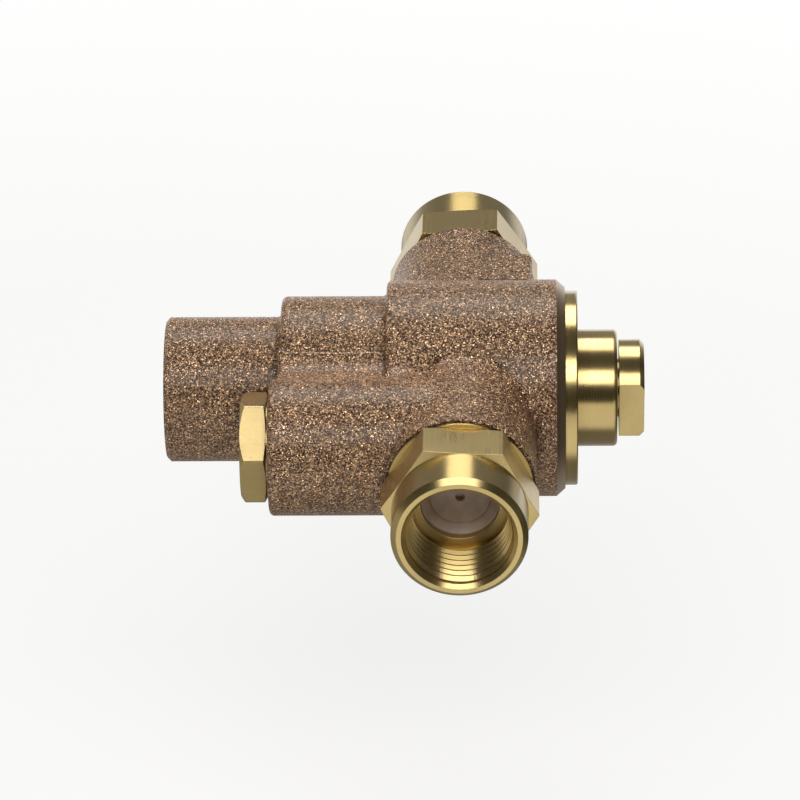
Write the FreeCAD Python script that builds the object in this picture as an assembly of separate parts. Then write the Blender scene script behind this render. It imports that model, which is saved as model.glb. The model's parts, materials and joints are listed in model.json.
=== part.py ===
import FreeCAD, Part
import math
import os
from FreeCAD import Vector

# Thermostatic mixing valve with half-inch threaded inlets and outlet.
# Millimetres. The origin is the centre of the outlet mouth. +X runs along the main axis to the
# adjusting stem, -Y is the cold inlet, +Y the hot inlet and +Z is up.
# Turned pieces are drawn along X, as (station, radius) points, and then swung onto their own axis.

os.makedirs("parts", exist_ok=True)

# ---------------------------------------------------------------- fits
thread_clearance = 0.05      # radial, between the plain cylinders of a screwed joint
running_clearance = 0.05     # radial, between pieces that slide or turn
seat_clearance = 0.10        # axial, under a piece that must stay free to move
ring_clearance = 0.03        # radial, round seals and clips in their grooves
key_clearance = 0.10         # each side of the carrier's key

# ---------------------------------------------------------------- casting, outside
outlet_radius = 14.8
outlet_length = 23.7
outlet_edge_chamfer = 0.8
middle_radius = 18.95
middle_length = 21.5
barrel_radius = 22.2
barrel_length = 36.3
barrel_chamfer_along = 1.8
barrel_chamfer_in = 1.6
cast_edge_round = 1.2
cast_corner_fillet = 1.0
cast_overlap = 4.0           # how far one cast form is run into the next

inlet_offset = 15.2          # from the barrel's left face to the inlet axis
inlet_rise = 0.7             # the inlet axis stands this far above the main axis
neck_radius = 15.15
neck_reach = 40.6            # from the main axis to the neck's machined face
neck_root_fillet = 3.4
neck_edge_round = 0.3
hex_sweep_radius = 16.2      # spot face that lets the inlet hex turn past the bypass boss

bypass_radius = 13.8
bypass_start = 22.0
bypass_forward = 26.2        # from the main axis to the bypass axis, towards -Y
bypass_rise = 1.4
bypass_edge_round = 1.0

pad_top = 15.55
pad_start = 1.8              # from the inlet axis
pad_length = 12.7
pad_reach = 29.1             # from the main axis
pad_edge_round = 1.2

# ---------------------------------------------------------------- half-inch pipe thread
thread_radius = 10.67
thread_mouth_radius = 11.45
thread_mouth_depth = 0.8
outlet_thread_depth = 15.0
outlet_mouth_radius = 11.05
outlet_mouth_depth = 0.4
inlet_thread_depth = 13.5

# ---------------------------------------------------------------- casting, inside
passage_radius = 8.5
mixing_start = 24.2
mixing_radius = 11.5
seat_pocket_radius = 12.6
land_radius = 13.0
land_length = 10.0
annulus_radius = 16.5
annulus_width = 5.8
seat_thickness = 2.0
bonnet_bore_radius = 17.5
port_radius = 7.0
port_inner_reach = 18.5
channel_inner_reach = 14.5
channel_outer_reach = 19.5
channel_half_height = 5.0
neck_bore_radius = 12.0
neck_bore_start = 31.4

bypass_bore_radius = 8.6
bypass_bore_length = 22.2
bypass_seat_radius = 3.6
bypass_side_port_radius = 3.0
bypass_side_port_setback = 7.0   # from the bypass seat to the side port's axis

# ---------------------------------------------------------------- inlet fittings
hex_across_flats = 27.2
hex_corner_radius = 15.65    # the hexagon's corners are turned off to this
hex_length = 10.0
hex_turn = 3.0               # degrees, where the tightened hexes came to rest
hex_end_chamfer = 0.5
washer_radius = 14.5
washer_length = 0.7
collar_radius = 13.5
collar_length = 9.9
collar_edge_chamfer = 1.1
spigot_gap = 0.5
spigot_lip_radius = 6.6
spigot_lip_length = 1.5
throat_radius = 7.9
inlet_seal_section = 0.6
inlet_seal_setback = 1.9     # from the neck's face to the seal's centre

# ---------------------------------------------------------------- check valves in the inlets
cage_length = 12.9
cage_mouth_radius = 7.55
cage_mouth_depth = 1.3
cage_throat_radius = 6.05
cage_throat_length = 1.4
cage_chamber_radius = 7.0
cage_spider_length = 2.2
cage_rim_radius = 5.6
cage_hub_radius = 3.0
cage_spoke_width = 1.6
cage_spokes = 3
cage_seal_section = 0.4
poppet_stem_radius = 1.6
poppet_stem_tail = 1.0
poppet_flange_length = 1.5
poppet_eye_radius = 0.95
poppet_eye_depth = 1.3
check_spring_radius = 2.4
check_spring_wire = 0.25
check_spring_turns = 5

# ---------------------------------------------------------------- bypass plug and its poppet
plug_hex_across_flats = 19.95
plug_hex_length = 5.2
plug_hex_turn = 45.0         # degrees, direction of one flat above the horizontal
plug_hex_corner_radius = 11.4
plug_hex_outer_chamfer = 0.9
plug_hex_inner_chamfer = 0.4
plug_washer_radius = 9.3
plug_washer_length = 0.4
plug_spigot_length = 9.2
plug_guide_radius = 4.2
plug_guide_length = 4.0
plug_guide_depth = 7.5
plug_seal_section = 0.55
plug_seal_setback = 2.2
bypass_stem_radius = 2.4
bypass_stem_overlap = 1.5
bypass_disc_radius = 6.0
bypass_disc_length = 1.7
bypass_spring_radius = 5.4
bypass_spring_wire = 0.45
bypass_spring_turns = 5

# ---------------------------------------------------------------- thermostatic element
port_gap = 1.5               # open gap at each seat with the valve in its middle position
hot_seat_opening = 10.3
cold_seat_opening = 9.0
shuttle_wall = 2.0
shuttle_hub_radius = 8.0
shuttle_hub_length = 4.0
shuttle_hub_station = 4.1    # from the shuttle's left rim to the hub's left face
shuttle_lip_length = 1.0
shuttle_spokes = 3
shuttle_spoke_width = 3.0
shuttle_seal_section = 0.62
capsule_radius = 5.2
capsule_nose_length = 20.0
capsule_flange_radius = 6.0
capsule_flange_length = 2.0
capsule_guide_radius = 3.6
capsule_guide_length = 7.0
clip_thickness = 0.6
element_piston_radius = 1.9
element_piston_length = 13.5
element_bore_depth = 11.5
return_spring_radius = 9.2
return_spring_wire = 0.7
return_spring_turns = 7

# ---------------------------------------------------------------- bonnet
flange_radius = 19.9
flange_length = 2.5
flange_edge_round = 0.4
hub_radius = 11.95
hub_length = 8.1
hub_edge_round = 0.9
bonnet_cavity_radius = 12.4
flange_wall = 2.2
hub_cavity_radius = 8.6
hub_wall = 5.4
bonnet_seal_section = 0.75
bonnet_seal_setback = 1.7
key_width = 2.4
key_depth = 1.4

# ---------------------------------------------------------------- adjusting stem and carrier
stem_head_radius = 9.9
stem_head_length = 5.1
stem_head_gap = 0.4
stem_head_chamfer = 0.9
stem_flats = 14.3            # across the two wrench flats
stem_flats_turn = -11.5      # degrees, direction of a flat above the horizontal
stem_radius = 6.0
stem_seal_section = 0.7
stem_clip_radius = 8.0
stem_clip_groove_depth = 0.8
screw_radius = 4.0
carrier_wall = 1.2
carrier_disc_length = 2.5
carrier_disc_gap = 2.0       # from the disc to the cavity's end wall
carrier_floor = 0.8
carrier_sleeve_radius = 7.0
carrier_sleeve_length = 3.4
carrier_cup_length = 4.7
plunger_flange_length = 1.2
plunger_pilot_radius = 2.6
plunger_pilot_length = 0.65
plunger_tip_radius = 3.0
plunger_tip_length = 2.65
overload_spring_radius = 5.2
overload_spring_wire = 0.5
overload_spring_turns = 2.5

# ---------------------------------------------------------------- stations worked out from these
barrel_start = outlet_length + middle_length
barrel_end = barrel_start + barrel_length
inlet_station = barrel_start + inlet_offset
land_start = inlet_station - land_length / 2
land_end = inlet_station + land_length / 2
hot_seat_face = land_start - annulus_width
hot_seat_back = hot_seat_face - seat_thickness
cold_seat_face = land_end + annulus_width
cold_seat_back = cold_seat_face + seat_thickness
shuttle_start = hot_seat_face + port_gap
shuttle_end = cold_seat_face - port_gap
bypass_seat = bypass_start + bypass_bore_length
hub_start = barrel_end + flange_length
hub_end = hub_start + hub_length
flange_cavity_end = hub_start - flange_wall
hub_cavity_end = hub_end - hub_wall

SIDES = {"cold": -90.0, "hot": 90.0}
X_AXIS = Vector(1, 0, 0)
Y_AXIS = Vector(0, 1, 0)
Z_AXIS = Vector(0, 0, 1)
FULL_TURN = 360.0
MATCH = 0.01                 # how close an edge lies to the place it is looked for


# ---------------------------------------------------------------- drawing helpers
def rod(radius, start, end):
    """Plain cylinder on the X axis between two stations."""
    return Part.makeCylinder(radius, end - start, Vector(start, 0, 0), X_AXIS)


def turned(points):
    """Solid of revolution about X from (station, radius) points."""
    corners = [Vector(station, radius, 0) for station, radius in points]
    outline = Part.makePolygon(corners + corners[:1])
    return Part.Face(outline).revolve(Vector(0, 0, 0), X_AXIS, FULL_TURN)


def ring(inner, outer, start, end):
    """Flat ring on the X axis."""
    return rod(outer, start, end).cut(rod(inner, start, end))


def seal(ring_radius, section_radius, station):
    """Round-section sealing ring on the X axis."""
    return Part.makeTorus(ring_radius, section_radius, Vector(station, 0, 0), X_AXIS)


def hexagon(across_flats, start, end, flat_direction):
    """Hexagonal bar on the X axis with one flat facing flat_direction degrees from +Y to +Z."""
    corner_radius = across_flats / math.sqrt(3)
    corners = []
    for index in range(6):
        angle = math.radians(flat_direction + 30 + 60 * index)
        corners.append(Vector(start, corner_radius * math.cos(angle), corner_radius * math.sin(angle)))
    outline = Part.makePolygon(corners + corners[:1])
    return Part.Face(outline).extrude(Vector(end - start, 0, 0))


def coil(radius, wire, start, end, turns):
    """Compression spring on the X axis, wire radius given, ends lying on both stations.

    Each half turn is half a circle in a plane of its own, so neighbouring halves meet along one line.
    """
    first = start + wire
    rise = (end - start - 2 * wire) / (2 * turns)
    halves = []
    for index in range(round(2 * turns)):
        side = 1 if index % 2 == 0 else -1
        here = first + rise * index
        halves.append(Part.Arc(Vector(here, side * radius, 0), Vector(here + rise / 2, 0, side * radius),
                               Vector(here + rise, -side * radius, 0)).toShape())
    profile = Part.Wire(Part.Circle(Vector(first, radius, 0), Z_AXIS, wire).toShape())
    return Part.Wire(halves).makePipe(Part.Face(profile))


def ring_edges(shape, rings):
    """Circular edges centred on the X axis, found by (station, radius)."""
    found = []
    for edge in shape.Edges:
        if not isinstance(edge.Curve, Part.Circle):
            continue
        centre = edge.Curve.Center
        for station, radius in rings:
            at_station = abs(centre.x - station) < MATCH and math.hypot(centre.y, centre.z) < MATCH
            if at_station and abs(edge.Curve.Radius - radius) < MATCH:
                found.append(edge)
    return found


def spokes(count, width, inner, outer, start, end):
    """Radial spokes about the X axis."""
    arms = []
    for index in range(count):
        arm = Part.makeBox(end - start, width, outer - inner, Vector(start, -width / 2, inner))
        arm.rotate(Vector(0, 0, 0), X_AXIS, FULL_TURN / count * index)
        arms.append(arm)
    return arms[0].multiFuse(arms[1:])


def to_inlet(shape, side):
    """Swings a piece drawn along X, from the main axis outwards, onto an inlet axis."""
    placed = shape.copy()
    placed.rotate(Vector(0, 0, 0), Z_AXIS, SIDES[side])
    placed.translate(Vector(inlet_station, 0, inlet_rise))
    return placed


def to_bypass(shape):
    """Shifts a piece drawn on the main axis onto the bypass axis."""
    placed = shape.copy()
    placed.translate(Vector(0, -bypass_forward, bypass_rise))
    return placed


# ---------------------------------------------------------------- casting
def stub_and_middle():
    """Outlet stub and middle section, run a little way into the barrel."""
    shape = turned([
        (0, 0), (0, outlet_radius), (outlet_length, outlet_radius),
        (outlet_length, middle_radius), (barrel_start + cast_overlap, middle_radius),
        (barrel_start + cast_overlap, 0)])
    shape = shape.makeChamfer(outlet_edge_chamfer, ring_edges(shape, [(0, outlet_radius)]))
    shape = shape.makeFillet(cast_edge_round, ring_edges(shape, [(outlet_length, middle_radius)]))
    return shape.makeFillet(cast_corner_fillet, ring_edges(shape, [(outlet_length, outlet_radius)]))


def barrel_and_necks():
    """Barrel with both inlet necks, blended where they meet."""
    run_out = barrel_start - neck_radius
    barrel = rod(barrel_radius, run_out, barrel_end)
    necks = Part.makeCylinder(neck_radius, 2 * neck_reach,
                              Vector(inlet_station, -neck_reach, inlet_rise), Y_AXIS)
    shape = barrel.fuse(necks)
    roots = [edge for edge in shape.Edges if isinstance(edge.Curve, Part.BSplineCurve)]
    shape = shape.makeFillet(neck_root_fillet, roots)
    rims = [edge for edge in shape.Edges
            if isinstance(edge.Curve, Part.Circle) and abs(edge.Curve.Radius - neck_radius) < MATCH
            and abs(abs(edge.Curve.Center.y) - neck_reach) < MATCH]
    shape = shape.makeFillet(neck_edge_round, rims)
    beyond = 2 * neck_reach
    left = Part.makeBox(beyond, 2 * beyond, 2 * beyond, Vector(barrel_start - beyond, -beyond, -beyond))
    shape = shape.cut(left)
    return shape.makeFillet(cast_edge_round, ring_edges(shape, [(barrel_start, barrel_radius)]))


def bypass_boss():
    """Cylindrical boss for the bypass, running into the cold neck."""
    shape = rod(bypass_radius, bypass_start, inlet_station)
    return to_bypass(shape.makeFillet(bypass_edge_round,
                                      ring_edges(shape, [(bypass_start, bypass_radius)])))


def neck_pad():
    """Raised flat pad on the hot neck."""
    root = barrel_radius - cast_overlap
    pad = Part.makeBox(pad_length, pad_reach - root, pad_top,
                       Vector(inlet_station + pad_start, root, 0))
    edges = [edge for edge in pad.Edges
             if edge.BoundBox.XMin > inlet_station + pad_start + MATCH and edge.BoundBox.YMax > root + MATCH
             and edge.BoundBox.ZMax > MATCH]
    return pad.makeFillet(pad_edge_round, edges)


def casting_outside():
    """Outer form of the casting."""
    shape = stub_and_middle().fuse(barrel_and_necks())
    step = ring_edges(shape, [(barrel_start, middle_radius)])
    shape = shape.makeFillet(cast_corner_fillet, step)
    cone = turned([
        (barrel_end - barrel_chamfer_along, barrel_radius),
        (barrel_end, barrel_radius - barrel_chamfer_in),
        (barrel_end + barrel_chamfer_along, barrel_radius - barrel_chamfer_in),
        (barrel_end + barrel_chamfer_along, barrel_radius + barrel_chamfer_in),
        (barrel_end - barrel_chamfer_along, barrel_radius + barrel_chamfer_in)])
    shape = shape.cut(cone)
    shape = shape.multiFuse([bypass_boss(), neck_pad()])
    spot_face = rod(hex_sweep_radius, neck_reach, neck_reach + neck_radius)
    return shape.cut(to_inlet(spot_face, "cold"))


def main_bore():
    """Everything bored and grooved along the main axis."""
    return turned([
        (0, 0), (0, outlet_mouth_radius), (outlet_mouth_depth, thread_radius),
        (outlet_thread_depth, thread_radius), (outlet_thread_depth, passage_radius),
        (mixing_start, passage_radius), (mixing_start, mixing_radius),
        (hot_seat_back, mixing_radius), (hot_seat_back, seat_pocket_radius),
        (hot_seat_face, seat_pocket_radius), (hot_seat_face, annulus_radius),
        (land_start, annulus_radius), (land_start, land_radius),
        (land_end, land_radius), (land_end, annulus_radius),
        (cold_seat_face, annulus_radius), (cold_seat_face, bonnet_bore_radius),
        (barrel_end, bonnet_bore_radius), (barrel_end, 0)])


def inlet_bores():
    """Neck bores, ports and the channels that lead each port to its own annulus."""
    bores = []
    for side in SIDES:
        bores.append(to_inlet(rod(neck_bore_radius, neck_bore_start, neck_reach), side))
        bores.append(to_inlet(rod(port_radius, port_inner_reach, neck_bore_start), side))
    depth = channel_outer_reach - channel_inner_reach
    height = 2 * channel_half_height
    reach = inlet_station + channel_half_height - hot_seat_face
    bores.append(Part.makeBox(reach, depth, height,
                              Vector(hot_seat_face, channel_inner_reach, -channel_half_height)))
    start = inlet_station - channel_half_height
    bores.append(Part.makeBox(cold_seat_face - start, depth, height,
                              Vector(start, -channel_outer_reach, -channel_half_height)))
    return bores


def bypass_bores():
    """Bypass chamber, its seat and the side port into the mixing chamber."""
    chamber = to_bypass(rod(bypass_bore_radius, bypass_start, bypass_seat))
    seat = to_bypass(rod(bypass_seat_radius, bypass_seat, inlet_station))
    from_chamber = bypass_forward - bypass_bore_radius / 2
    foot = Vector(bypass_seat - bypass_side_port_setback, -from_chamber, bypass_rise)
    side_port = Part.makeCylinder(bypass_side_port_radius, from_chamber - mixing_radius / 2, foot, Y_AXIS)
    return [chamber, seat, side_port]


def body_casting():
    shape = casting_outside()
    for bore in [main_bore()] + inlet_bores() + bypass_bores():
        shape = shape.cut(bore)
    return shape


# ---------------------------------------------------------------- inlet fittings and check valves
hex_start = neck_reach + washer_length
hex_end = hex_start + hex_length
mouth = hex_end + collar_length
spigot_start = neck_bore_start + spigot_gap
throat_end = mouth - inlet_thread_depth
cage_start = spigot_start + spigot_lip_length
cage_end = cage_start + cage_length
cage_throat_end = cage_end - cage_mouth_depth
cage_step = cage_throat_end - cage_throat_length
cage_chamber_start = cage_start + cage_spider_length
cage_radius = throat_radius - thread_clearance
poppet_flange_start = cage_step - seat_clearance - poppet_flange_length


def chamfered_hexagon(across_flats, corner_radius, start, end, flat_direction, back, front):
    """Hexagon with its corners turned off, coned down to the flats over the lengths back and front."""
    flat = across_flats / 2
    envelope = turned([
        (start, 0), (start, flat), (start + back, corner_radius), (end - front, corner_radius),
        (end, flat), (end, 0)])
    return hexagon(across_flats, start, end, flat_direction).common(envelope)


def inlet_fitting(side):
    """Screwed inlet connector: spigot, washer face, hexagon and threaded collar."""
    spigot_radius = neck_bore_radius - thread_clearance
    seal_station = neck_reach - inlet_seal_setback
    turn = 90 - hex_turn
    shape = turned([
        (spigot_start, 0), (spigot_start, spigot_radius), (neck_reach, spigot_radius),
        (neck_reach, washer_radius), (hex_start, washer_radius), (hex_start, 0)])
    nut = chamfered_hexagon(hex_across_flats, hex_corner_radius, hex_start, hex_end, turn,
                            hex_end_chamfer, hex_end_chamfer)
    collar = rod(collar_radius, hex_start, mouth)
    collar = collar.makeChamfer(collar_edge_chamfer, ring_edges(collar, [(mouth, collar_radius)]))
    shape = shape.multiFuse([nut, collar])
    way = turned([
        (spigot_start, 0), (spigot_start, spigot_lip_radius), (cage_start, spigot_lip_radius),
        (cage_start, throat_radius), (throat_end, throat_radius), (throat_end, thread_radius),
        (mouth - thread_mouth_depth, thread_radius), (mouth, thread_mouth_radius), (mouth, 0)])
    shape = shape.cut(way)
    groove_half = inlet_seal_section + ring_clearance
    groove_floor = spigot_radius - 2 * inlet_seal_section
    groove = ring(groove_floor, neck_bore_radius, seal_station - groove_half, seal_station + groove_half)
    return to_inlet(shape.cut(groove), side)


def inlet_seal(side):
    middle = neck_bore_radius - thread_clearance - inlet_seal_section
    return to_inlet(seal(middle + ring_clearance / 2, inlet_seal_section - ring_clearance,
                         neck_reach - inlet_seal_setback), side)


def check_cage(side):
    """Plastic cage of a check valve, with the seat at its mouth and a spider behind."""
    shape = turned([
        (cage_start, cage_rim_radius), (cage_start, cage_radius), (cage_end, cage_radius),
        (cage_end, cage_mouth_radius), (cage_throat_end, cage_throat_radius),
        (cage_step, cage_throat_radius), (cage_step, cage_chamber_radius),
        (cage_chamber_start, cage_chamber_radius), (cage_chamber_start, cage_rim_radius)])
    hub = rod(cage_hub_radius, cage_start, cage_chamber_start)
    arms = spokes(cage_spokes, cage_spoke_width, cage_hub_radius / 2, cage_rim_radius + MATCH,
                  cage_start, cage_chamber_start)
    shape = shape.multiFuse([hub, arms])
    shape = shape.cut(rod(poppet_stem_radius + running_clearance, cage_start, cage_chamber_start))
    half = cage_seal_section + ring_clearance
    middle = cage_start + cage_spider_length / 2
    groove = ring(cage_radius - 2 * cage_seal_section, throat_radius, middle - half, middle + half)
    return to_inlet(shape.cut(groove), side)


def check_seal(side):
    middle = cage_radius - cage_seal_section
    return to_inlet(seal(middle + ring_clearance / 2, cage_seal_section - ring_clearance,
                         cage_start + cage_spider_length / 2), side)


def check_poppet(side):
    """Poppet that closes the cage's throat from inside."""
    disc_radius = cage_throat_radius - 2 * running_clearance
    poppet_flange_radius = cage_chamber_radius - 2 * running_clearance
    flange_end = poppet_flange_start + poppet_flange_length
    shape = turned([
        (cage_start - poppet_stem_tail, 0), (cage_start - poppet_stem_tail, poppet_stem_radius),
        (poppet_flange_start, poppet_stem_radius), (poppet_flange_start, poppet_flange_radius),
        (flange_end, poppet_flange_radius), (flange_end, disc_radius),
        (cage_throat_end, disc_radius), (cage_throat_end, poppet_eye_radius),
        (cage_throat_end - poppet_eye_depth, poppet_eye_radius),
        (cage_throat_end - poppet_eye_depth, 0)])
    return to_inlet(shape, side)


def check_spring(side):
    return to_inlet(coil(check_spring_radius, check_spring_wire, cage_chamber_start,
                         poppet_flange_start, check_spring_turns), side)


# ---------------------------------------------------------------- bypass
plug_hex_end = bypass_start - plug_washer_length
plug_hex_start = plug_hex_end - plug_hex_length
plug_face = bypass_start + plug_spigot_length
plug_guide_end = plug_face + plug_guide_length
bypass_disc_end = bypass_seat - seat_clearance
bypass_disc_start = bypass_disc_end - bypass_disc_length


def bypass_plug():
    """Hex plug that closes the bypass chamber and guides the poppet."""
    spigot_radius = bypass_bore_radius - thread_clearance
    shape = turned([
        (plug_hex_end, 0), (plug_hex_end, plug_washer_radius), (bypass_start, plug_washer_radius),
        (bypass_start, spigot_radius), (plug_face, spigot_radius), (plug_face, plug_guide_radius),
        (plug_guide_end, plug_guide_radius), (plug_guide_end, 0)])
    nut = chamfered_hexagon(plug_hex_across_flats, plug_hex_corner_radius, plug_hex_start, plug_hex_end,
                            180 - plug_hex_turn, plug_hex_outer_chamfer, plug_hex_inner_chamfer)
    shape = shape.fuse(nut)
    guide = rod(bypass_stem_radius + running_clearance, plug_guide_end - plug_guide_depth, plug_guide_end)
    half = plug_seal_section + ring_clearance
    station = bypass_start + plug_seal_setback
    groove = ring(spigot_radius - 2 * plug_seal_section, bypass_bore_radius, station - half, station + half)
    return to_bypass(shape.cut(guide).cut(groove))


def bypass_plug_seal():
    middle = bypass_bore_radius - thread_clearance - plug_seal_section
    return to_bypass(seal(middle + ring_clearance / 2, plug_seal_section - ring_clearance,
                          bypass_start + plug_seal_setback))


def bypass_poppet():
    stem_start = plug_guide_end - bypass_stem_overlap
    return to_bypass(turned([
        (stem_start, 0), (stem_start, bypass_stem_radius), (bypass_disc_start, bypass_stem_radius),
        (bypass_disc_start, bypass_disc_radius), (bypass_disc_end, bypass_disc_radius),
        (bypass_disc_end, 0)]))


def bypass_spring():
    return to_bypass(coil(bypass_spring_radius, bypass_spring_wire, plug_face, bypass_disc_start,
                          bypass_spring_turns))


# ---------------------------------------------------------------- thermostatic element
hub_face = shuttle_start + shuttle_hub_station
hub_back = hub_face + shuttle_hub_length
capsule_flange_start = hub_face + shuttle_lip_length
capsule_flange_end = capsule_flange_start + capsule_flange_length
capsule_guide_end = capsule_flange_end + capsule_guide_length
shuttle_radius = land_radius - running_clearance


def hot_seat():
    return ring(hot_seat_opening, seat_pocket_radius - thread_clearance, hot_seat_back, hot_seat_face)


def cold_seat():
    return ring(cold_seat_opening, bonnet_bore_radius - thread_clearance, cold_seat_face, cold_seat_back)


def shuttle():
    """Sliding sleeve that opens one seat as it closes the other."""
    inner = shuttle_radius - shuttle_wall
    lip = capsule_radius + running_clearance
    sleeve = ring(inner, shuttle_radius, shuttle_start, shuttle_end)
    hub = turned([
        (hub_face, lip), (hub_face, shuttle_hub_radius), (hub_back, shuttle_hub_radius),
        (hub_back, capsule_flange_radius + running_clearance),
        (capsule_flange_start, capsule_flange_radius + running_clearance), (capsule_flange_start, lip)])
    arms = spokes(shuttle_spokes, shuttle_spoke_width, shuttle_hub_radius - shuttle_wall / 2,
                  inner + shuttle_wall / 2, hub_face, hub_back)
    shape = sleeve.multiFuse([hub, arms]).cut(rod(capsule_flange_radius + running_clearance,
                                                  capsule_flange_start, hub_back))
    half = shuttle_seal_section + ring_clearance
    groove = ring(shuttle_radius - 2 * shuttle_seal_section, land_radius,
                  inlet_station - half, inlet_station + half)
    return shape.cut(groove)


def shuttle_seal():
    middle = shuttle_radius - shuttle_seal_section
    return seal(middle + ring_clearance / 2, shuttle_seal_section - ring_clearance, inlet_station)


def wax_capsule():
    """Wax-filled capsule whose guide holds the piston rod."""
    nose_start = capsule_flange_start - capsule_nose_length
    nose_round = capsule_radius / 2
    body = rod(capsule_radius, nose_start, capsule_flange_start)
    body = body.makeFillet(nose_round, ring_edges(body, [(nose_start, capsule_radius)]))
    flange = rod(capsule_flange_radius, capsule_flange_start, capsule_flange_end)
    guide = rod(capsule_guide_radius, capsule_flange_end, capsule_guide_end)
    bore = rod(element_piston_radius + running_clearance, capsule_guide_end - element_bore_depth,
               capsule_guide_end)
    return body.multiFuse([flange, guide]).cut(bore)


def capsule_clip():
    return ring(capsule_guide_radius + running_clearance, capsule_flange_radius,
                capsule_flange_end, capsule_flange_end + clip_thickness)


# ---------------------------------------------------------------- bonnet, stem and spring carrier
disc_end = flange_cavity_end - carrier_disc_gap
disc_start = disc_end - carrier_disc_length
carrier_end = disc_end + carrier_sleeve_length
cup_start = disc_start - carrier_cup_length
cup_floor = disc_end - carrier_floor
cup_radius = overload_spring_radius + overload_spring_wire + carrier_wall
plunger_clip_end = cup_start + seat_clearance + clip_thickness
plunger_start = plunger_clip_end
plunger_end = plunger_start + plunger_flange_length
plunger_tip = plunger_start - plunger_tip_length
clip_station = hub_cavity_end - seat_clearance - clip_thickness
screw_start = cup_floor + seat_clearance
stem_start = clip_station - clip_thickness
stem_head_start = hub_end + stem_head_gap


def bonnet():
    """Screwed cover of the barrel, with the flange, the hub and the stem's bore."""
    plug_radius = bonnet_bore_radius - thread_clearance
    shape = turned([
        (cold_seat_back, 0), (cold_seat_back, plug_radius), (barrel_end, plug_radius),
        (barrel_end, flange_radius), (hub_start, flange_radius), (hub_start, hub_radius),
        (hub_end, hub_radius), (hub_end, 0)])
    shape = shape.makeFillet(hub_edge_round, ring_edges(shape, [(hub_end, hub_radius)]))
    shape = shape.makeFillet(flange_edge_round, ring_edges(shape, [(hub_start, flange_radius)]))
    way = turned([
        (cold_seat_back, 0), (cold_seat_back, bonnet_cavity_radius),
        (flange_cavity_end, bonnet_cavity_radius), (flange_cavity_end, hub_cavity_radius),
        (hub_cavity_end, hub_cavity_radius), (hub_cavity_end, stem_radius + running_clearance),
        (hub_end, stem_radius + running_clearance), (hub_end, 0)])
    key_way = Part.makeBox(flange_cavity_end - cold_seat_back, key_width, key_depth + carrier_wall,
                           Vector(cold_seat_back, -key_width / 2, bonnet_cavity_radius - carrier_wall))
    half = bonnet_seal_section + ring_clearance
    station = barrel_end - bonnet_seal_setback
    groove = ring(plug_radius - 2 * bonnet_seal_section, bonnet_bore_radius, station - half, station + half)
    return shape.cut(way).cut(key_way).cut(groove)


def bonnet_seal():
    middle = bonnet_bore_radius - thread_clearance - bonnet_seal_section
    return seal(middle + ring_clearance / 2, bonnet_seal_section - ring_clearance,
                barrel_end - bonnet_seal_setback)


def adjusting_stem():
    """Stem with a flatted head outside and a screw inside the carrier."""
    head_end = stem_head_start + stem_head_length
    head = rod(stem_head_radius, stem_head_start, head_end)
    head = head.makeChamfer(stem_head_chamfer, ring_edges(head, [(head_end, stem_head_radius)]))
    slab = Part.makeBox(stem_head_length, stem_flats, 2 * stem_head_radius,
                        Vector(stem_head_start, -stem_flats / 2, -stem_head_radius))
    slab.rotate(Vector(0, 0, 0), X_AXIS, -stem_flats_turn)
    shank = turned([
        (screw_start, 0), (screw_start, screw_radius), (stem_start, screw_radius),
        (stem_start, stem_radius), (stem_head_start, stem_radius), (stem_head_start, 0)])
    clip_groove = ring(stem_radius - stem_clip_groove_depth, stem_clip_radius,
                       clip_station - ring_clearance, clip_station + clip_thickness + ring_clearance)
    half = stem_seal_section + ring_clearance
    station = (hub_cavity_end + hub_end) / 2
    groove = ring(stem_radius - 2 * stem_seal_section, stem_clip_radius, station - half, station + half)
    return head.common(slab).fuse(shank).cut(clip_groove).cut(groove)


def stem_seal():
    middle = stem_radius - stem_seal_section
    return seal(middle + ring_clearance / 2, stem_seal_section - ring_clearance,
                (hub_cavity_end + hub_end) / 2)


def stem_clip():
    """Open clip that keeps the stem from coming out of the bonnet."""
    inner = stem_radius - stem_clip_groove_depth + ring_clearance
    shape = ring(inner, stem_clip_radius, clip_station, clip_station + clip_thickness)
    opening = Part.makeBox(clip_thickness, inner, stem_clip_radius,
                           Vector(clip_station, -inner / 2, -stem_clip_radius))
    return shape.cut(opening)


def spring_carrier():
    """Nut that the stem screws along the bonnet, held by its key, with the overload spring inside."""
    disc_radius = bonnet_cavity_radius - 2 * running_clearance
    pocket = cup_radius - carrier_wall + running_clearance
    shape = turned([
        (cup_start, 0), (cup_start, cup_radius + running_clearance),
        (disc_start, cup_radius + running_clearance), (disc_start, disc_radius),
        (disc_end, disc_radius), (disc_end, carrier_sleeve_radius),
        (carrier_end, carrier_sleeve_radius), (carrier_end, 0)])
    width = key_width - 2 * key_clearance
    height = key_depth - key_clearance
    key = Part.makeBox(carrier_disc_length, width, height + carrier_wall,
                       Vector(disc_start, -width / 2, bonnet_cavity_radius - carrier_wall))
    shape = shape.fuse(key)
    shape = shape.cut(rod(pocket, cup_start, cup_floor))
    return shape.cut(rod(screw_radius + running_clearance, cup_floor, carrier_end))


def plunger():
    """Plunger between the overload spring and the element's piston rod."""
    flange = cup_radius - carrier_wall - running_clearance
    pilot_end = plunger_end + plunger_pilot_length
    return turned([
        (plunger_tip, 0), (plunger_tip, plunger_tip_radius), (plunger_start, plunger_tip_radius),
        (plunger_start, flange), (plunger_end, flange), (plunger_end, plunger_pilot_radius),
        (pilot_end, plunger_pilot_radius), (pilot_end, 0)])


def plunger_clip():
    outer = cup_radius - carrier_wall + running_clearance / 2
    inner = plunger_tip_radius + carrier_wall
    return ring(inner, outer, plunger_clip_end - clip_thickness, plunger_clip_end)


def element_piston():
    return rod(element_piston_radius, plunger_tip - element_piston_length, plunger_tip)


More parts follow.
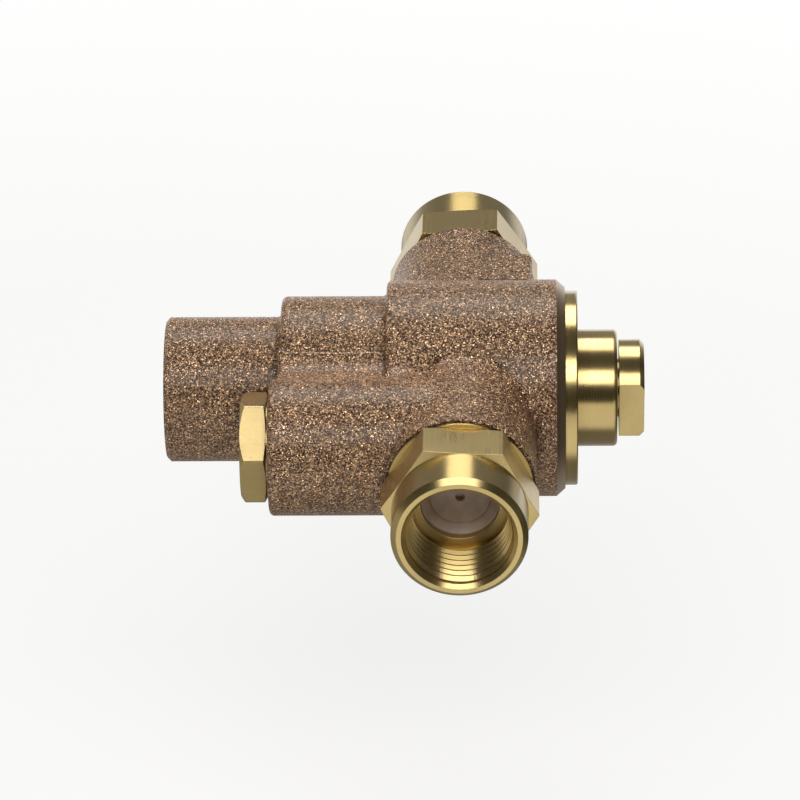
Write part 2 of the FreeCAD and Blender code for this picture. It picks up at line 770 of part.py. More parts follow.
def overload_spring():
    return coil(overload_spring_radius, overload_spring_wire, plunger_end, cup_floor,
                overload_spring_turns)


def return_spring():
    return coil(return_spring_radius, return_spring_wire, mixing_start, hub_face, return_spring_turns)


# ---------------------------------------------------------------- output
pieces = {
    "body_casting": body_casting(),
    "bonnet": bonnet(),
    "bonnet_seal": bonnet_seal(),
    "bypass_plug": bypass_plug(),
    "bypass_plug_seal": bypass_plug_seal(),
    "bypass_poppet": bypass_poppet(),
    "bypass_spring": bypass_spring(),
    "hot_seat": hot_seat(),
    "cold_seat": cold_seat(),
    "shuttle": shuttle(),
    "shuttle_seal": shuttle_seal(),
    "wax_capsule": wax_capsule(),
    "capsule_clip": capsule_clip(),
    "element_piston": element_piston(),
    "return_spring": return_spring(),
    "overload_spring": overload_spring(),
    "plunger": plunger(),
    "plunger_clip": plunger_clip(),
    "spring_carrier": spring_carrier(),
    "adjusting_stem": adjusting_stem(),
    "stem_seal": stem_seal(),
    "stem_clip": stem_clip(),
}
for side in SIDES:
    pieces[side + "_inlet_fitting"] = inlet_fitting(side)
    pieces[side + "_inlet_seal"] = inlet_seal(side)
    pieces[side + "_check_cage"] = check_cage(side)
    pieces[side + "_check_seal"] = check_seal(side)
    pieces[side + "_check_poppet"] = check_poppet(side)
    pieces[side + "_check_spring"] = check_spring(side)

for node, shape in pieces.items():
    shape.exportStep("parts/" + node + ".step")
    print(node, "solids", len(shape.Solids), "valid", shape.isValid(), "volume", round(shape.Volume, 2))
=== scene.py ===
import json
import math
import bmesh
import bpy
from mathutils import Matrix, Vector


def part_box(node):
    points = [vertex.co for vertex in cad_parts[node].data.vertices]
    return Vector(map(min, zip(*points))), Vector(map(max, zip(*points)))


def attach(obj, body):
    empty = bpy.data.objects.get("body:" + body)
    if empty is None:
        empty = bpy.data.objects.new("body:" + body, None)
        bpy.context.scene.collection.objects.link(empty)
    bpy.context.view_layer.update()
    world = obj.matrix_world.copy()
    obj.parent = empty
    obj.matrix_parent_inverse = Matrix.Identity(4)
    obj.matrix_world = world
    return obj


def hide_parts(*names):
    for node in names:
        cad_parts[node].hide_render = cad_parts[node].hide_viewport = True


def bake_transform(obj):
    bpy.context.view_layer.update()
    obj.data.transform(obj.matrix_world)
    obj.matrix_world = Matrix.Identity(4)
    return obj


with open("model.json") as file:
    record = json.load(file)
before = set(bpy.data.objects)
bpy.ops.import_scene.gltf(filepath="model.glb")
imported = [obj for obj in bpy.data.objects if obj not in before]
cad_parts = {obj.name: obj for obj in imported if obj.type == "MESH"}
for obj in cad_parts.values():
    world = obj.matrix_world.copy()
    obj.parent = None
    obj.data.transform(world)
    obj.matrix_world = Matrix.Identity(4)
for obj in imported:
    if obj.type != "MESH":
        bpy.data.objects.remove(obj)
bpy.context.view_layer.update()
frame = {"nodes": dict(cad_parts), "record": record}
RECORD = frame["record"]
NODES = frame["nodes"]

# Lengths are in metres. The main axis is X, and the inlets lie on a line along Y.
MM = 0.001
INLET_X = 0.0604             # where the inlets' axis crosses the main axis
INLET_Z = 0.0007             # how far it stands above the main axis
INLET_MOUTH = 0.0604         # from the main axis to the thread's mouth in each inlet
OUTLET_MOUTH = 0.0004
MAIN_AXIS = (0.0, 0.0)       # (y, z)
BOSS_AXIS = (-0.0262, 0.0014)


# ---------------------------------------------------------------- node helpers
class Graph:
    """Short names for adding nodes to one material or world."""

    def __init__(self, tree):
        self.tree = tree
        tree.nodes.clear()

    def add(self, kind, ins=None, **settings):
        node = self.tree.nodes.new(kind)
        for key, value in settings.items():
            setattr(node, key, value)
        for key, value in (ins or {}).items():
            self.put(node.inputs[key], value)
        return node

    def put(self, socket, value):
        if isinstance(value, bpy.types.NodeSocket):
            self.tree.links.new(value, socket)
        else:
            socket.default_value = value

    def math(self, operation, first, second=0.0):
        return self.add("ShaderNodeMath", {0: first, 1: second}, operation=operation).outputs[0]

    def times(self, first, second):
        return self.math("MULTIPLY", first, second)

    def span(self, value, low, high, to_low=0.0, to_high=1.0):
        """Value carried from low..high to to_low..to_high, and held at the ends."""
        return self.add("ShaderNodeMapRange",
                        {0: value, 1: low, 2: high, 3: to_low, 4: to_high}).outputs[0]

    def mix(self, factor, first, second):
        """One colour into another."""
        node = self.add("ShaderNodeMix", data_type="RGBA")
        self.put(node.inputs[0], factor)
        self.put(node.inputs[6], first)
        self.put(node.inputs[7], second)
        return node.outputs[2]

    def choose(self, factor, first, second):
        """One number into another."""
        node = self.add("ShaderNodeMix", data_type="FLOAT")
        self.put(node.inputs[0], factor)
        self.put(node.inputs[2], first)
        self.put(node.inputs[3], second)
        return node.outputs[0]

    def noise(self, vector, scale, detail, roughness):
        return self.add("ShaderNodeTexNoise", {"Vector": vector, "Scale": scale, "Detail": detail,
                                               "Roughness": roughness}).outputs[0]

    def cells(self, vector, scale):
        return self.add("ShaderNodeTexVoronoi", {"Vector": vector, "Scale": scale})

    def join(self, x=0.0, y=0.0, z=0.0):
        return self.add("ShaderNodeCombineXYZ", {0: x, 1: y, 2: z}).outputs[0]

    def vector(self, operation, ins):
        return self.add("ShaderNodeVectorMath", ins, operation=operation)

    def bump(self, height, distance, strength, normal=None):
        node = self.add("ShaderNodeBump",
                        {"Strength": strength, "Distance": distance, "Height": height})
        if normal is not None:
            self.put(node.inputs["Normal"], normal)
        return node.outputs[0]

    def place(self):
        """Object coordinates and their three parts."""
        vector = self.add("ShaderNodeTexCoord").outputs["Object"]
        parts = self.add("ShaderNodeSeparateXYZ", {0: vector})
        return vector, parts.outputs[0], parts.outputs[1], parts.outputs[2]

    def length(self, first, second):
        return self.math("SQRT", self.math("ADD", self.times(first, first),
                                           self.times(second, second)))

    def edges(self, radius):
        """Mask that is high along sharp outer and inner edges; the finishes lay edge wear and a
        painted highlight there.
        """
        soft = self.add("ShaderNodeBevel", {"Radius": radius}, samples=4).outputs[0]
        sharp = self.add("ShaderNodeNewGeometry").outputs["Normal"]
        same = self.vector("DOT_PRODUCT", {0: soft, 1: sharp}).outputs["Value"]
        return self.span(same, 0.98, 0.80)

    def finish(self, **sockets):
        """Shader and output; a socket is named with _ for each space."""
        shader = self.add("ShaderNodeBsdfPrincipled")
        for key, value in sockets.items():
            self.put(shader.inputs[key.replace("_", " ")], value)
        out = self.add("ShaderNodeOutputMaterial")
        self.tree.links.new(shader.outputs[0], out.inputs[0])


def material(name):
    made = bpy.data.materials.new(name)
    made.use_nodes = True
    return made, Graph(made.node_tree)


def colour(red, green, blue):
    return (red, green, blue, 1.0)


WHITE = colour(1.0, 1.0, 1.0)

# ---------------------------------------------------------------- cast bronze
# Scales are in cells to the metre.
GRIT_SCALE = 4000.0          # grains, each with a tint of its own
FACET_SCALE = 4300.0         # small faces that turn the light
FACET_TILT = 1.7
GRAIN_SCALE = 2600.0
PATCH_SCALE = 260.0
CLOUD_SCALE = 60.0
PORE_SCALE = 150.0
PORE_SHARE = 0.72            # cells below this share hold no pore
RING_SCALE = 5200.0          # turning marks in the bores and on the ends

GRIT_DARK = colour(0.030, 0.015, 0.010)
GRIT_MIDDLE = colour(0.462, 0.264, 0.158)
GRIT_BRIGHT = colour(1.0, 0.675, 0.395)
GRIT_GREY = colour(0.215, 0.145, 0.140)
GRIT_OCHRE = colour(0.56, 0.34, 0.16)
PATCH_TINT = colour(0.405, 0.24, 0.150)
CLOUD_TINT = colour(0.255, 0.15, 0.102)
# Paler edge tint: partly edge wear, partly a painted highlight.
EDGE_WEAR_AND_GLINT_TINT = colour(0.62, 0.46, 0.32)
PIT_TINT = colour(0.035, 0.022, 0.016)
# Painted shade: near-black colour laid into concave corners and between parts.
PAINTED_CREVICE_SHADE = colour(0.030, 0.018, 0.013)
CUT_DARK = colour(0.46, 0.33, 0.19)
CUT_PALE = colour(0.58, 0.43, 0.26)

# Two casting pits on the rear neck's pad, as (centre, radius).
PAD_PITS = (((0.0673, 0.0194, 0.01625), 0.00075), ((0.0709, 0.0216, 0.01625), 0.00035))
# How far the painted corner shade reaches.
PAINTED_SHADE_REACH = 0.005
# Width of the edges that take wear and a painted highlight.
EDGE_WEAR_AND_GLINT_RADIUS = 0.0006
SKIN_RELIEF = 0.00022
RING_RELIEF = 0.00001

# Turned metal shows inside this radius and past these stations.
BORE_REACH = 0.01149
MOUTH_STATION = 0.00004
END_STATION = 0.07974


def cast_bronze():
    """Sand-cast skin outside, turned metal in the bores and on the machined ends."""
    made, g = material("cast_bronze")
    at, x, y, z = g.place()
    grit = g.cells(at, GRIT_SCALE).outputs["Color"]
    tone = g.add("ShaderNodeSeparateColor", {0: grit})
    facets = g.cells(at, FACET_SCALE).outputs["Color"]
    grain = g.noise(at, GRAIN_SCALE, 2.0, 0.6)
    patch = g.noise(at, PATCH_SCALE, 3.0, 0.55)
    cloud = g.noise(at, CLOUD_SCALE, 2.0, 0.5)
    lit = g.math("ADD", g.times(tone.outputs[0], 0.75), g.times(grain, 0.25))
    skin = g.mix(g.span(lit, 0.15, 0.50), GRIT_DARK, GRIT_MIDDLE)
    skin = g.mix(g.span(lit, 0.50, 0.74), skin, GRIT_BRIGHT)
    skin = g.mix(g.span(tone.outputs[1], 0.30, 0.10, 0.0, 0.45), skin, GRIT_GREY)
    skin = g.mix(g.span(tone.outputs[1], 0.70, 0.90, 0.0, 0.40), skin, GRIT_OCHRE)
    skin = g.mix(g.span(patch, 0.40, 0.68, 0.0, 0.12), skin, PATCH_TINT)
    skin = g.mix(g.span(cloud, 0.38, 0.70, 0.0, 0.20), skin, CLOUD_TINT)
    # Edges paler: partly wear in random patches, partly a painted highlight.
    edge_wear_and_glint = g.times(g.edges(EDGE_WEAR_AND_GLINT_RADIUS), g.span(patch, 0.36, 0.60))
    skin = g.mix(g.times(edge_wear_and_glint, 0.45), skin, EDGE_WEAR_AND_GLINT_TINT)

    pores = g.cells(at, PORE_SCALE)
    chance = g.add("ShaderNodeSeparateColor", {0: pores.outputs["Color"]}).outputs[0]
    deep = g.math("GREATER_THAN", chance, PORE_SHARE)
    pit = g.times(g.span(pores.outputs["Distance"], 0.060, 0.025), deep)
    for centre, size in PAD_PITS:
        gap = g.vector("DISTANCE", {0: at, 1: centre}).outputs["Value"]
        wavy = g.math("ADD", gap, g.times(g.math("SUBTRACT", grain, 0.5), size))
        pit = g.math("MAXIMUM", pit, g.span(wavy, size, size * 0.6))
    skin = g.mix(g.times(pit, 0.92), skin, PIT_TINT)
    # Painted shade: ambient occlusion darkens the colour in corners and between parts, where shade
    # falls.
    crevice_shade = g.add("ShaderNodeAmbientOcclusion", {"Distance": PAINTED_SHADE_REACH},
                    samples=8).outputs["AO"]
    skin = g.mix(g.span(crevice_shade, 0.86, 0.40, 0.0, 0.88), skin, PAINTED_CREVICE_SHADE)
    height = g.math("ADD", g.times(grain, 0.6), g.times(patch, 0.9))
    height = g.math("SUBTRACT", height, g.times(pit, 1.2))
    rough_normal = g.bump(height, SKIN_RELIEF, 0.8)
    tilt = g.vector("SUBTRACT", {0: facets, 1: (0.5, 0.5, 0.5)}).outputs[0]
    tilt = g.vector("SCALE", {0: tilt, "Scale": FACET_TILT}).outputs[0]
    rough_normal = g.vector("ADD", {0: rough_normal, 1: tilt}).outputs[0]
    rough_normal = g.vector("NORMALIZE", {0: rough_normal}).outputs[0]

    reach = g.length(y, z)
    in_bore = g.math("LESS_THAN", reach, BORE_REACH)
    on_mouth = g.math("LESS_THAN", x, MOUTH_STATION)
    on_end = g.math("GREATER_THAN", x, END_STATION)
    cut = g.math("MAXIMUM", g.math("MAXIMUM", in_bore, on_mouth), on_end)
    rings = g.noise(g.join(x, reach), RING_SCALE, 2.0, 0.6)
    cut_colour = g.mix(g.span(rings, 0.35, 0.65), CUT_DARK, CUT_PALE)
    cut_normal = g.bump(rings, RING_RELIEF, 0.8)

    normal = g.add("ShaderNodeMix", data_type="VECTOR")
    g.put(normal.inputs[0], cut)
    g.put(normal.inputs[4], rough_normal)
    g.put(normal.inputs[5], cut_normal)
    roughness = g.choose(cut, g.span(tone.outputs[2], 0.0, 1.0, 0.20, 0.62),
                         g.span(rings, 0.3, 0.7, 0.26, 0.36))
    g.finish(Base_Color=g.mix(cut, skin, cut_colour), Metallic=0.9, Roughness=roughness,
             Coat_Weight=0.35, Coat_Roughness=0.30, Normal=normal.outputs[1])
    return made


# ---------------------------------------------------------------- brass
LATHE_SPIN = 0.25            # anisotropic rotation that draws the highlight along the axis
BAR_SPIN = 0.0
TURN_SCALE = 4200.0          # turning marks
FINE_TURN_SCALE = 14000.0
DRAWN_SCALE = 7000.0         # lines along the bar's flats
DRAWN_STRETCH = 0.012        # how closely they follow the bar
SMEAR_SCALE = 90.0
SPECK_SCALE = 1100.0
SCRATCH_SCALE = 1500.0
SCRATCH_LEAN = (0.3, 0.9, 0.5)
SCRATCH_STRETCH = (1.0, 0.08, 1.0)
BRASS_RELIEF = 0.000006
# Width of the brass edges that take wear and a painted highlight.
BRASS_EDGE_WEAR_AND_GLINT_RADIUS = 0.0003
SOFT_EDGE = 0.00018

BRASS_DARK = colour(0.54, 0.395, 0.145)
BRASS_PALE = colour(0.66, 0.50, 0.20)
SMEAR_TINT = colour(0.55, 0.41, 0.155)
SPECK_TINT = colour(0.36, 0.26, 0.11)
# Paler edge colour: partly wear, partly a painted highlight.
BRASS_EDGE_WEAR_AND_GLINT = colour(0.76, 0.62, 0.32)


def turned_brass(name, along, centre, flats=None, flat_spin=LATHE_SPIN, flat_rough=0.0):
    """Brass bar turned about its own axis at centre.

    flats is (first station, last station, radius) and holds the bar's drawn flats, if it has any.
    """
    made, g = material(name)
    at, x, y, z = g.place()
    if along == "Y":
        station = g.math("ABSOLUTE", y)
        across = g.math("SUBTRACT", x, centre[0])
    else:
        station = x
        across = g.math("SUBTRACT", y, centre[0])
    other = g.math("SUBTRACT", z, centre[1])
    reach = g.length(across, other)
    rings = g.noise(g.join(station, reach), TURN_SCALE, 3.0, 0.62)
    fine_rings = g.noise(g.join(station, reach), FINE_TURN_SCALE, 1.0, 0.5)
    lines = g.math("ADD", g.times(rings, 0.6), g.times(fine_rings, 0.4))
    spin = LATHE_SPIN
    if flats:
        low, high, inner = flats
        drawn = g.noise(g.join(across, other, g.times(station, DRAWN_STRETCH)),
                        DRAWN_SCALE, 3.0, 0.6)
        flat = g.times(g.math("GREATER_THAN", station, low), g.math("LESS_THAN", station, high))
        flat = g.times(flat, g.math("GREATER_THAN", reach, inner))
        turned = g.math("SUBTRACT", 1.0, flat)
        lines = g.choose(turned, drawn, lines)
        if flat_spin != LATHE_SPIN:
            spin = g.choose(turned, flat_spin, LATHE_SPIN)
    smear = g.noise(at, SMEAR_SCALE, 3.0, 0.55)
    speck = g.noise(at, SPECK_SCALE, 2.0, 0.5)
    slant = g.add("ShaderNodeMapping", {0: at, 2: SCRATCH_LEAN, 3: SCRATCH_STRETCH}).outputs[0]
    scratch = g.span(g.noise(slant, SCRATCH_SCALE, 1.0, 0.5), 0.70, 0.74)
    metal = g.mix(g.span(lines, 0.30, 0.70), BRASS_DARK, BRASS_PALE)
    metal = g.mix(g.span(smear, 0.35, 0.70, 0.0, 0.35), metal, SMEAR_TINT)
    metal = g.mix(g.span(speck, 0.64, 0.76, 0.0, 0.22), metal, SPECK_TINT)
    # Paler along the edges: partly wear, partly a painted highlight.
    metal = g.mix(g.times(g.edges(BRASS_EDGE_WEAR_AND_GLINT_RADIUS), 0.4), metal, BRASS_EDGE_WEAR_AND_GLINT)
    rough = g.math("ADD", g.span(lines, 0.3, 0.7, 0.25, 0.32), g.span(smear, 0.4, 0.7, 0.0, 0.06))
    rough = g.math("ADD", rough, g.times(scratch, 0.10))
    if flat_rough:
        rough = g.math("ADD", rough, g.times(flat, flat_rough))
    soft = g.add("ShaderNodeBevel", {"Radius": SOFT_EDGE}, samples=4).outputs[0]
    normal = g.bump(lines, BRASS_RELIEF, 0.6, soft)
    normal = g.bump(g.math("ADD", g.times(scratch, -0.5), speck), BRASS_RELIEF, 0.5, normal)
    tangent = g.add("ShaderNodeTangent", direction_type="RADIAL", axis=along).outputs[0]
    g.finish(Base_Color=metal, Metallic=1.0, Roughness=rough, Anisotropic=0.85,
             Coat_Weight=0.5, Coat_Roughness=0.2, Coat_IOR=1.6,
             Anisotropic_Rotation=spin, Tangent=tangent, Normal=normal)
    return made


# ---------------------------------------------------------------- plastic, rubber and wire
FINE_RELIEF = 0.00001
MOULD_CLOUD_SCALE = 320.0
MOULD_PORE_SCALE = 3600.0
WIRE_LINE_SCALE = 3000.0
WIRE_LINE_STRETCH = 0.15
WIRE_STAIN_SCALE = 240.0


def moulded(name, dark, pale, roughness):
    """Moulded plastic or rubber, with a faint texture."""
    made, g = material(name)
    at = g.place()[0]
    cloud = g.noise(at, MOULD_CLOUD_SCALE, 3.0, 0.55)
    pores = g.noise(at, MOULD_PORE_SCALE, 2.0, 0.6)
    tint = g.mix(g.span(cloud, 0.35, 0.65), dark, pale)
    rough = g.span(pores, 0.3, 0.7, roughness - 0.06, roughness + 0.06)
    g.finish(Base_Color=tint, Roughness=rough, Normal=g.bump(pores, FINE_RELIEF, 0.5))
    return made


def drawn_metal(name, dark, pale, roughness):
    """Drawn wire, or fine turned steel and copper."""
    made, g = material(name)
    at, x, y, z = g.place()
    lines = g.noise(g.join(g.times(x, WIRE_LINE_STRETCH), y, z), WIRE_LINE_SCALE, 3.0, 0.6)
    stain = g.noise(at, WIRE_STAIN_SCALE, 3.0, 0.55)
    tint = g.mix(g.span(lines, 0.35, 0.65), dark, pale)
    tint = g.mix(g.span(stain, 0.4, 0.7, 0.0, 0.3), tint, dark)
    rough = g.span(lines, 0.3, 0.7, roughness - 0.05, roughness + 0.07)
    g.finish(Base_Color=tint, Metallic=1.0, Roughness=rough,
             Normal=g.bump(lines, FINE_RELIEF, 0.6))
    return made


# ---------------------------------------------------------------- finishes of the solids
INLET_FLATS = (0.0413, 0.0513, 0.0125)
PLUG_FLATS = (0.0164, 0.0216, 0.0085)
PLUG_FLAT_ROUGHNESS = 0.16

inlet_brass = turned_brass("inlet_brass", "Y", (INLET_X, INLET_Z), INLET_FLATS, BAR_SPIN)
plug_brass = turned_brass("plug_brass", "X", BOSS_AXIS, PLUG_FLATS, LATHE_SPIN,
                          PLUG_FLAT_ROUGHNESS)
main_brass = turned_brass("main_brass", "X", MAIN_AXIS)
SLOT_MATERIALS = {
    "cast_bronze": cast_bronze(),
    "machined_brass": main_brass,
    "white_plastic": moulded(
        "white_plastic", colour(0.54, 0.42, 0.34), colour(0.66, 0.53, 0.43), 0.42),
    "black_plastic": moulded(
        "black_plastic", colour(0.030, 0.030, 0.033), colour(0.055, 0.055, 0.060), 0.45),
    "black_rubber": moulded(
        "black_rubber", colour(0.014, 0.014, 0.015), colour(0.030, 0.030, 0.032), 0.55),
    "spring_steel": drawn_metal(
        "spring_steel", colour(0.38, 0.38, 0.40), colour(0.62, 0.62, 0.63), 0.30),
    "stainless_steel": drawn_metal(
        "stainless_steel", colour(0.46, 0.46, 0.45), colour(0.68, 0.68, 0.67), 0.26),
    "capsule_copper": drawn_metal(
        "capsule_copper", colour(0.56, 0.30, 0.20), colour(0.80, 0.48, 0.34), 0.30),
}
NODE_MATERIALS = {
    "cold_inlet_fitting": inlet_brass,
    "hot_inlet_fitting": inlet_brass,
    "bypass_plug": plug_brass,
}
SLOT_OF = {part["node"]: part["material_slot"] for part in RECORD["subparts"]}


def dress(obj, finish):
    obj.data.materials.clear()
    obj.data.materials.append(finish)


def add_piece(name, mesh):
    piece = bpy.data.objects.new(name, mesh)
    bpy.context.scene.collection.objects.link(piece)
    return piece


for node, slot in SLOT_OF.items():
    dress(NODES[node], NODE_MATERIALS.get(node, SLOT_MATERIALS[slot]))


# ---------------------------------------------------------------- pipe threads in the three mouths
THREAD_ROOT = 10.72 * MM
THREAD_PITCH = 25.4 * MM / 14
THREAD_TAPER = 1 / 32        # radius lost for each unit of depth
THREAD_HEIGHT = 0.80 * MM
THREAD_LEAD = 0.9 * MM       # from the mouth to the middle of the first ridge
THREAD_ENDS = 1.2 * MM       # depth kept free of ridge
THREAD_SEGMENTS = 96         # to the turn
THREAD_FADE = 0.5            # turns over which the ridge rises and dies
# The ridge's outline, as (share of the pitch, share of the height).
THREAD_OUTLINE = ((-0.48, 0.0), (-0.10, 1.0), (0.10, 1.0), (0.48, 0.0))
INLET_DEPTH = 12.6 * MM
OUTLET_DEPTH = 14.4 * MM


def thread(name, mouth, inward, depth):
    """Helical ridge of a taper pipe thread, from the mouth inwards."""
    steps = int((depth - THREAD_ENDS) / THREAD_PITCH * THREAD_SEGMENTS)
    fade_steps = THREAD_SEGMENTS * THREAD_FADE
    inward = Vector(inward)
    side = Vector((0, 0, 1))
    other = inward.cross(side)
    corners = []
    faces = []
    for step in range(steps + 1):
        angle = 2 * math.pi * step / THREAD_SEGMENTS
        along = THREAD_LEAD + THREAD_PITCH * step / THREAD_SEGMENTS
        fade = min(1.0, step / fade_steps, (steps - step) / fade_steps)
        crest = THREAD_HEIGHT + THREAD_TAPER * along
        out = side * math.cos(angle) + other * math.sin(angle)
        for shift, rise in THREAD_OUTLINE:
            radius = THREAD_ROOT - crest * rise * fade
            corners.append(Vector(mouth) + inward * (along + shift * THREAD_PITCH) + out * radius)
    count = len(THREAD_OUTLINE)
    for step in range(steps):
        for index in range(count - 1):
            first = step * count + index
            faces.append((first, first + 1, first + 1 + count, first + count))
    mesh = bpy.data.meshes.new(name)
    mesh.from_pydata(corners, [], faces)
    mesh.update()
    return add_piece(name, mesh)


cold = thread("cold_inlet_thread", (INLET_X, -INLET_MOUTH, INLET_Z), (0, 1, 0), INLET_DEPTH)
hot = thread("hot_inlet_thread", (INLET_X, INLET_MOUTH, INLET_Z), (0, -1, 0), INLET_DEPTH)
outlet = thread("outlet_thread", (OUTLET_MOUTH, 0, 0), (1, 0, 0), OUTLET_DEPTH)
for piece, finish, slot in ((cold, inlet_brass, "machined_brass"),
                            (hot, inlet_brass, "machined_brass"),
                            (outlet, SLOT_MATERIALS["cast_bronze"], "cast_bronze")):
    dress(piece, finish)
    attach(piece, "valve_body")


# ---------------------------------------------------------------- cast fillets beside the boss
BOSS_RADIUS = 13.8 * MM
FILLET_STEPS = 20
FILLET_ROOT = 6 * MM         # how far its hidden side is sunk into the casting
# Sections of the run, as (station, radius of the main round, fillet radius), in millimetres.
FILLET_RUN = (
    # flares out behind the boss's end, then lies beside the middle section
    (23.6, 18.95, 15.0), (23.75, 18.95, 12.0), (24.1, 18.95, 10.3), (24.8, 18.95, 9.2),
    (26.0, 18.95, 9.0), (44.9, 18.95, 9.0), (45.3, 18.95, 9.0),
    # follows the barrel's rounded edge, and then the barrel
    (45.3, 21.4, 9.0), (45.5, 21.75, 9.0), (45.8, 22.0, 9.0), (46.4, 22.18, 9.0),
    (57.0, 22.18, 9.0),
)


def fillet_section(radius, blend, side):
    """Fillet between the main round and the boss, as (y, z) points; side is 1 above, -1 below."""
    middle = Vector(MAIN_AXIS)
    boss = Vector(BOSS_AXIS)
    span = (boss - middle).length
    ahead = (boss - middle) / span
    aside = Vector((ahead[1], -ahead[0])) * side
    along = (span ** 2 + (radius + blend) ** 2 - (BOSS_RADIUS + blend) ** 2) / (2 * span)
    height = math.sqrt((radius + blend) ** 2 - along ** 2)
    centre = middle + ahead * along + aside * height
    first = (middle - centre).normalized()
    last = (boss - centre).normalized()
    turn = math.acos(first.dot(last))
    points = []
    for step in range(FILLET_STEPS + 1):
        part = step / FILLET_STEPS
        spoke = first * math.sin((1 - part) * turn) + last * math.sin(part * turn)
        points.append(centre + spoke / math.sin(turn) * blend)
    return points


def fillet(name, side):
    """Cast fillet that runs along the boss, beside the middle section and then the barrel."""
    corners = []
    faces = []
    width = FILLET_STEPS + 2
    for station, radius, blend in FILLET_RUN:
        section = fillet_section(radius * MM, blend * MM, side)
        root = (section[0] + section[-1]) / 2
        root.y -= FILLET_ROOT * side
        corners += [(station * MM, point[0], point[1]) for point in section + [root]]
    for ring in range(len(FILLET_RUN) - 1):
        for index in range(width):
            first, second = ring * width + index, ring * width + (index + 1) % width
            faces.append((first, second, second + width, first + width))
    faces.append(tuple(range(width)))
    faces.append(tuple(range((len(FILLET_RUN) - 1) * width, len(FILLET_RUN) * width)))
    mesh = bpy.data.meshes.new(name)
    mesh.from_pydata(corners, [], faces)
    work = bmesh.new()
    work.from_mesh(mesh)
    bmesh.ops.recalc_face_normals(work, faces=work.faces)
    work.to_mesh(mesh)
    work.free()
    seen_faces = [face.index % width < FILLET_STEPS and len(face.vertices) == 4
                  for face in mesh.polygons]
    mesh.polygons.foreach_set("use_smooth", seen_faces)
    piece = add_piece(name, mesh)
    dress(piece, SLOT_MATERIALS["cast_bronze"])
    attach(piece, "valve_body")


fillet("upper_cast_fillet", 1)
fillet("lower_cast_fillet", -1)


# ---------------------------------------------------------------- springs
def fitted_spring(node, axis, fixed_end):
    """Copy of the stiff spring solid, standing in place of the hidden original; its two seats are
    worked out but not used.
    """
    low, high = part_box(node)
    start = (low + high) / 2
    end = start.copy()
    start[axis] = fixed_end
    end[axis] = max(low[axis], high[axis], key=lambda seat: abs(seat - fixed_end))
    piece = add_piece(node.replace("spring", "coil"), NODES[node].data.copy())
    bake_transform(piece)
    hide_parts(node)


for joint in RECORD["behaviour"]["joints"]:
    for spring in joint.get("deforming_nodes", []):
        letter = spring["mode"][-1]
        fitted_spring(spring["node"], "xyz".index(letter), spring["fixed_end_" + letter + "_m"])

# ---------------------------------------------------------------- floor
FLOOR_Z = -0.11              # clear of the valve, which stands on nothing
FLOOR_HALF = 6
SHADOW_NEAR = 0.25           # the floor takes shadow inside this distance and none past the next
SHADOW_FAR = 0.70
SHADOW_SHARE = 0.35
FLOOR_GLOW = 1.10

floor_mesh = bpy.data.meshes.new("floor")
floor_mesh.from_pydata([(-FLOOR_HALF, -FLOOR_HALF, FLOOR_Z), (FLOOR_HALF, -FLOOR_HALF, FLOOR_Z),
                        (FLOOR_HALF, FLOOR_HALF, FLOOR_Z), (-FLOOR_HALF, FLOOR_HALF, FLOOR_Z)],
                       [], [(0, 1, 2, 3)])
floor = add_piece("floor", floor_mesh)
paper, g = material("paper")
at, x, y = g.place()[:3]
apart = g.length(x, y)
fibre = g.noise(at, 900.0, 3.0, 0.6)
matt = g.span(apart, SHADOW_NEAR, SHADOW_FAR, SHADOW_SHARE, 0.0)
sheet = g.add("ShaderNodeBsdfDiffuse", {"Color": WHITE, "Normal": g.bump(fibre, 0.0001, 0.2)})
page = g.add("ShaderNodeEmission", {"Color": WHITE, "Strength": FLOOR_GLOW})
both = g.add("ShaderNodeMixShader", {0: matt, 1: page.outputs[0], 2: sheet.outputs[0]})
out = g.add("ShaderNodeOutputMaterial")
g.tree.links.new(both.outputs[0], out.inputs[0])
dress(floor, paper)
floor.visible_diffuse = False
floor.visible_glossy = False

# ---------------------------------------------------------------- lamps
LAMP_TARGET = (0.055, 0.0, 0.0)
LAMP_DISTANCE = 0.9
LAMP_TINT = (1.0, 0.985, 0.96)


def softbox(name, elevation, azimuth, width, height, watts):
    """Area light that faces the middle of the valve; azimuth is turned from -Y towards +X."""
    up = math.radians(elevation)
    turn = math.radians(azimuth)
    towards = Vector((math.sin(turn) * math.cos(up), -math.cos(turn) * math.cos(up), math.sin(up)))
    data = bpy.data.lights.new(name, "AREA")
    data.shape = "RECTANGLE"
    data.size = width
    data.size_y = height
    data.energy = watts
    data.color = LAMP_TINT
    lamp = add_piece(name, data)
    lamp.location = Vector(LAMP_TARGET) + towards * LAMP_DISTANCE
    lamp.rotation_euler = towards.to_track_quat("Z", "Y").to_euler()


softbox("front_softbox", elevation=50.0, azimuth=0.0, width=0.72, height=0.41, watts=4.3)
softbox("back_softbox", elevation=54.5, azimuth=180.0, width=0.42, height=0.54, watts=3.4)

# ---------------------------------------------------------------- world
# A studio of pale and dark zones lights the valve. Camera rays, and rays through glass, see a
# white page instead.
# Metal reflects that page in front and far behind, below the horizon, and the studio elsewhere.
TABLE_FRONT = 0.84
TABLE_ELSEWHERE = 0.32
TABLE_UNDER = 0.21
TABLE_FAR = 0.80
WALL_OVERHEAD = 0.10
WALL_BEHIND = 0.29
WALL_FRONT = 0.055
WALL_BESIDE = 0.04

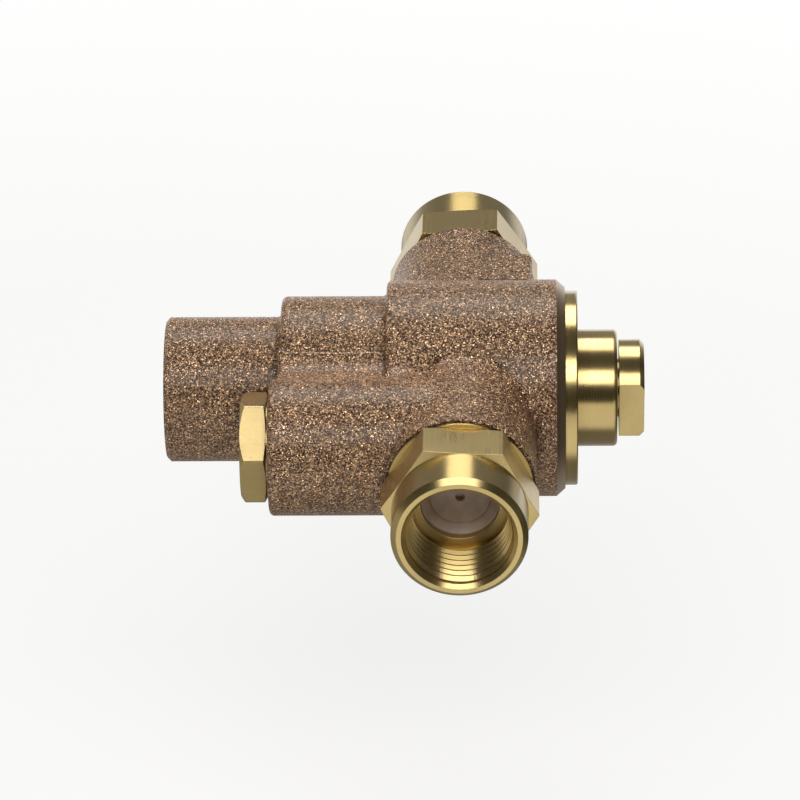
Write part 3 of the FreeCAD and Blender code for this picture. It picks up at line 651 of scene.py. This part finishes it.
world = bpy.data.worlds.new("studio")
bpy.context.scene.world = world
world.use_nodes = True
g = Graph(world.node_tree)
heading = g.add("ShaderNodeSeparateXYZ",
                {0: g.add("ShaderNodeTexCoord").outputs["Generated"]}).outputs
front = g.span(heading[1], -0.35, -0.60)
under = g.span(g.times(heading[2], -1.0), 0.80, 0.92)
beside = g.span(heading[0], 0.50, 0.80, 1.0, 0.10)
table = g.choose(front, TABLE_ELSEWHERE, TABLE_FRONT)
table = g.choose(under, table, TABLE_UNDER)
far = g.times(g.span(heading[1], 0.50, 0.70), g.span(heading[2], -0.45, -0.30))
table = g.choose(far, table, TABLE_FAR)
table = g.times(table, beside)
behind = g.times(g.span(heading[1], 0.20, 0.50), g.span(heading[2], 0.52, 0.44))
walls = g.choose(behind, WALL_OVERHEAD, WALL_BEHIND)
walls = g.choose(g.span(heading[1], -0.20, -0.60), walls, WALL_FRONT)
walls = g.choose(g.span(heading[0], 0.40, 0.75), walls, WALL_BESIDE)
low = g.span(heading[2], 0.01, -0.08)
glow = g.choose(low, walls, table)
room = g.add("ShaderNodeBackground", {"Color": colour(1.0, 0.98, 0.95), "Strength": glow})
page = g.add("ShaderNodeBackground", {"Color": WHITE, "Strength": 1.0})
path = g.add("ShaderNodeLightPath").outputs
on_page = g.math("MAXIMUM", g.times(front, g.math("SUBTRACT", 1.0, under)), far)
on_page = g.times(g.times(on_page, beside), low)
mirrored = g.times(path["Is Glossy Ray"], on_page)
straight = g.math("MAXIMUM", path["Is Camera Ray"], path["Is Transmission Ray"])
seen = g.math("MAXIMUM", straight, mirrored)
both = g.add("ShaderNodeMixShader", {0: seen, 1: room.outputs[0], 2: page.outputs[0]})
out = g.add("ShaderNodeOutputWorld")
world.node_tree.links.new(both.outputs[0], out.inputs[0])

# ---------------------------------------------------------------- camera
ELEVATION = math.radians(29.6)
AZIMUTH = math.radians(1.55)
ROLL = math.radians(-1.0)
VIEW_WIDTH = 164.0 * MM      # what the view takes in at the inlets' axis
DISTANCE = 1086.5 * MM
AIM = (12.71 * MM, 2.4395 * MM)  # how far the inlets' axis stands right of and above the middle
SENSOR = 36.0

right = Vector((math.cos(AZIMUTH), math.sin(AZIMUTH), 0))
back = Vector((math.sin(AZIMUTH) * math.cos(ELEVATION), -math.cos(AZIMUTH) * math.cos(ELEVATION),
               math.sin(ELEVATION)))
up = back.cross(right)
right, up = (right * math.cos(ROLL) + up * math.sin(ROLL),
             up * math.cos(ROLL) - right * math.sin(ROLL))
spot = Vector((INLET_X, 0, 0)) + back * DISTANCE - right * AIM[0] - up * AIM[1]
camera_data = bpy.data.cameras.new("camera")
camera_data.sensor_width = SENSOR
camera_data.lens = SENSOR * DISTANCE / VIEW_WIDTH
camera_data.clip_start = 0.01
camera = add_piece("camera", camera_data)
camera.matrix_world = Matrix.Translation(spot) @ Matrix((right, up, back)).transposed().to_4x4()
bpy.context.scene.camera = camera
bpy.context.scene.view_settings.view_transform = "Standard"
